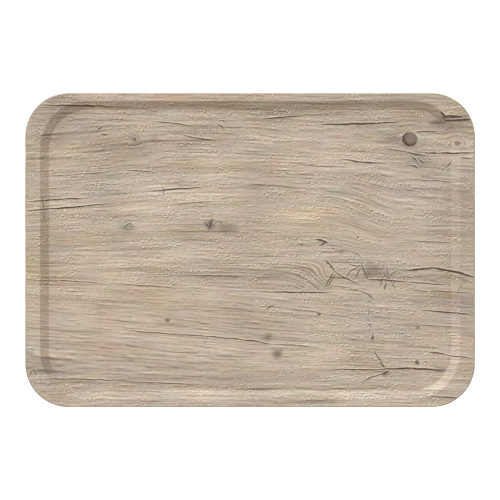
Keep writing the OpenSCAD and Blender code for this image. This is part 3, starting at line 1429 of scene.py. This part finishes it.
@dataclass(frozen=True)
class SealingLacquer:
    """Brown lacquer brushed on the trimmed edge, worn a little lighter in places."""

    name: str = "sealing_lacquer"
    colour: Colour = linear(158, 143, 124)
    worn: Colour = linear(182, 168, 142)

    def make(self) -> bpy.types.Material:
        """Makes the material.

        Returns:
            The material.
        """
        material, bench, shader = start_finish(self.name)
        flat = bench.millimetres()
        wear = bench.noise(flat, 22, 22, 6, 3.0)
        colour = bench.blend(bench.fade(wear, 0.45, 0.7), self.colour, self.worn)
        bench.feed(shader.inputs["Base Color"], colour)
        bench.feed(shader.inputs["Roughness"], bench.scaled(wear, 0.25, 0.5))
        return material


# ---------------------------------------------------------------- the tray's pieces


def dress(piece: bpy.types.Object, material: bpy.types.Material) -> None:
    """Gives a piece one material all over."""
    piece.data.materials.clear()
    piece.data.materials.append(material)


@dataclass
class PrintedFace:
    """The printed sheet with the clear wear sheet on it, which make the tray's upper face."""

    sizes: TraySizes
    finish: WeatheredWoodPrint = WeatheredWoodPrint()

    def build(self) -> bpy.types.Object:
        """Models and dresses the face.

        Returns:
            The piece.
        """
        piece = press_face("printed_face", self.sizes.upper_face(), self.sizes.face_sheets, up=True)
        lay_map(piece, up=True)
        dress(piece, self.finish.make())
        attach(piece, "root")
        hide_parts("clear_overlay", "wood_decor_sheet")
        return piece


@dataclass
class PlainUnderside:
    """The balancing sheet with the clear sheet under it, which make the tray's lower face."""

    sizes: TraySizes
    finish: PlainBacking = PlainBacking()

    def build(self) -> bpy.types.Object:
        """Models and dresses the underside.

        Returns:
            The piece.
        """
        piece = press_face("plain_underside", self.sizes.lower_face(), self.sizes.face_sheets, up=False)
        dress(piece, self.finish.make())
        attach(piece, "root")
        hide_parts("balancing_sheet", "clear_underlay")
        return piece


@dataclass
class SealedEdge:
    """The coat of lacquer round the trimmed and rounded edge."""

    sizes: TraySizes
    finish: SealingLacquer = SealingLacquer()
    rounding_steps: int = 8

    def build(self) -> bpy.types.Object:
        """Models the coat as a plate whose edges are rounded and whose two faces are taken away.

        Returns:
            The piece.
        """
        sizes = self.sizes
        piece = start_piece("sealed_edge")
        draw_outline(sizes.edge_loop(0.0, sizes.top), filled=True)
        bpy.ops.mesh.extrude_region_move(TRANSFORM_OT_translate={"value": (0, 0, -sizes.shell)})
        bpy.ops.mesh.select_all(action="SELECT")
        bpy.ops.mesh.normals_make_consistent(inside=False)
        self.select_level_edges(piece)
        rounding = {"offset": sizes.edge_rounding, "segments": self.rounding_steps, "profile": 0.5}
        bpy.ops.mesh.bevel(offset_type="OFFSET", affect="EDGES", **rounding)
        self.select_level_faces(piece)
        bpy.ops.mesh.delete(type="FACE")
        set_mode("OBJECT")
        use_modifier(piece, "SOLIDIFY", thickness=sizes.seal, offset=-1, use_even_offset=True)
        smooth(piece)
        dress(piece, self.finish.make())
        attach(piece, "root")
        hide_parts("edge_seal")
        return piece

    def select_level_edges(self, piece: bpy.types.Object) -> None:
        """Selects the edges that lie level, all round the plate's two faces."""
        bpy.ops.mesh.select_mode(type="EDGE")
        bpy.ops.mesh.select_all(action="DESELECT")
        set_mode("OBJECT")
        for edge in piece.data.edges:
            one, other = (piece.data.vertices[i].co for i in edge.vertices)
            edge.select = abs(one.z - other.z) < 0.1 * self.sizes.shell
        set_mode("EDIT")

    def select_level_faces(self, piece: bpy.types.Object) -> None:
        """Selects the plate's two level faces."""
        bpy.ops.mesh.select_mode(type="FACE")
        bpy.ops.mesh.select_all(action="DESELECT")
        set_mode("OBJECT")
        for polygon in piece.data.polygons:
            polygon.select = abs(polygon.normal.z) > LEVEL_NORMAL
        set_mode("EDIT")


@dataclass
class VeneerCore:
    """The crosswise veneers between the two faces."""

    count: int = 7

    def build(self) -> list[bpy.types.Object]:
        """Dresses each veneer, with its neighbours' grain across its own.

        Returns:
            The pieces.
        """
        finishes = {way: CoreVeneer(way).make() for way in GrainWay}
        pieces = []
        for number in range(1, self.count + 1):
            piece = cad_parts[f"veneer_{number}"]
            dress(piece, finishes[GrainWay.ALONG if number % 2 else GrainWay.ACROSS])
            pieces.append(piece)
        return pieces


# ---------------------------------------------------------------- the studio


@dataclass
class Studio:
    """A pale floor, soft light all round, a low key light from the back left, and a camera straight above."""

    sizes: TraySizes
    view_width: float = 0.589
    lens: float = 600.0
    sensor: float = 36.0
    aside: float = 0.1 * MM
    farthest: float = 50.0
    floor_size: float = 12.0
    floor_gap: float = 0.02 * MM
    floor_glow: float = 0.55
    lamp_spread: float = math.radians(20)
    lamp_distance: float = 2.0
    sky: float = 0.64
    sky_colour: Colour = (1.04, 1.0, 0.95)
    lamps: tuple[tuple[str, float, Colour, tuple[float, float, float]], ...] = (
        ("key", 2.48, (0.9, 1.0, 1.12), (-0.416, 0.59, 0.325)),
        ("fill", 0.33, (0.85, 1.0, 1.2), (0.1, 0.0, 0.035)),
    )

    def build(self) -> None:
        """Sets the studio up."""
        self.lay_floor()
        self.light()
        self.place_camera()
        bpy.context.scene.view_settings.view_transform = "Standard"

    def lay_floor(self) -> None:
        """Lays the floor that the tray stands on."""
        deselect()
        bpy.ops.mesh.primitive_plane_add(size=self.floor_size, location=(0, 0, -self.floor_gap))
        floor = bpy.context.object
        floor.name = "studio_floor"
        material, _, shader = start_finish("studio_floor")
        shader.inputs["Base Color"].default_value = (0.92, 0.92, 0.92, 1)
        shader.inputs["Roughness"].default_value = 0.9
        shader.inputs["Specular IOR Level"].default_value = 0.1
        shader.inputs["Emission Color"].default_value = (1, 1, 1, 1)
        shader.inputs["Emission Strength"].default_value = self.floor_glow
        dress(floor, material)

    def light(self) -> None:
        """Lights the tray evenly from all round, with a key and a fill lamp that cast no hard shadow."""
        world = bpy.data.worlds.new("studio")
        world.use_nodes = True
        sky = world.node_tree.nodes["Background"]
        sky.inputs["Color"].default_value = (*self.sky_colour, 1)
        sky.inputs["Strength"].default_value = self.sky
        bpy.context.scene.world = world
        for name, strength, colour, source in self.lamps:
            lamp = bpy.data.lights.new(name, "SUN")
            lamp.energy = strength
            lamp.color = colour
            lamp.angle = self.lamp_spread
            lamp.use_shadow = False
            holder = bpy.data.objects.new(name, lamp)
            holder.rotation_mode = "QUATERNION"
            holder.rotation_quaternion = Vector(source).to_track_quat("Z", "Y")
            holder.location = self.lamp_distance * Vector(source).normalized()
            bpy.context.scene.collection.objects.link(holder)

    def place_camera(self) -> None:
        """Hangs the camera straight above the tray, far off, so that it shows the rim and the well alike."""
        camera = bpy.data.cameras.new("camera")
        camera.lens, camera.sensor_width = self.lens, self.sensor
        camera.clip_end = self.farthest
        holder = bpy.data.objects.new("camera", camera)
        distance = self.view_width * self.lens / self.sensor
        holder.location = (-self.aside, self.aside, self.sizes.top + distance)
        bpy.context.scene.collection.objects.link(holder)
        bpy.context.scene.camera = holder


def main() -> None:
    """Builds the tray's pieces in order, then the studio."""
    logging.basicConfig(level=logging.INFO, format="%(name)s: %(message)s")
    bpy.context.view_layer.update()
    sizes = TraySizes.from_model()
    pieces = [PrintedFace(sizes).build(), PlainUnderside(sizes).build(), SealedEdge(sizes).build()]
    pieces += VeneerCore().build()
    for piece in pieces:
        LOG.info("%s: %d faces, %s", piece.name, len(piece.data.polygons), piece.data.materials[0].name)
    Studio(sizes).build()


if __name__ == "__main__":
    main()
